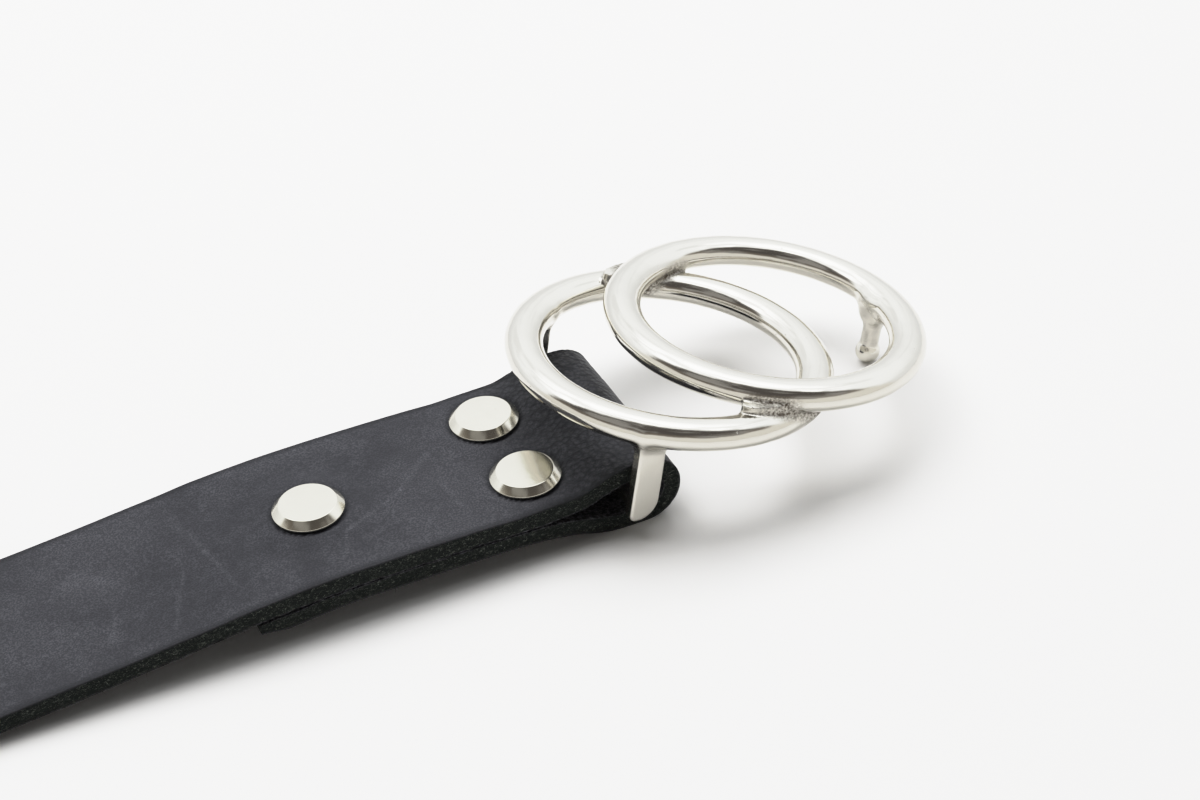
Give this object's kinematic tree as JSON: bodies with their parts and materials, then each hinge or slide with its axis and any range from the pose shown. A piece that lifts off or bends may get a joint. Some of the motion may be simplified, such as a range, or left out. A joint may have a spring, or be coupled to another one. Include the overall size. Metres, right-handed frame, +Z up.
{
  "type": "double ring belt",
  "caption": "Leather belt end with a buckle of overlapping rings on posts, a ball-ended prong, flat cap rivets through the folded strap and a plain tip with prong holes.",
  "frame": {"origin": "middle of the belt's bounding box, on the surface that it lies on", "axes": "+X along the strap from its tip to the buckle's rings, +Y across the strap, +Z up"},
  "size_m": [0.1918, 0.0484, 0.0205],
  "materials": {
    "leather": "black full-grain leather, matt to satin, with raw cut edges",
    "polished_metal": "polished white metal casting, rougher where the rings are soldered",
    "rivet_metal": "polished nickel with a warm cast"
  },
  "bodies": {
    "strap": {"strap": "leather", "rivet_rear": "rivet_metal", "rivet_near": "rivet_metal", "rivet_far": "rivet_metal"},
    "buckle": {"double_ring_buckle": "polished_metal"}
  },
  "joints": [
    {"name": "buckle_swing", "type": "hinge", "parent": "strap", "child": "buckle", "pos_m": [0.04208, -0.00136, 0.0046], "axis": [0.06, -0.9982, 0], "range_deg": [0, 37]}
  ]
}
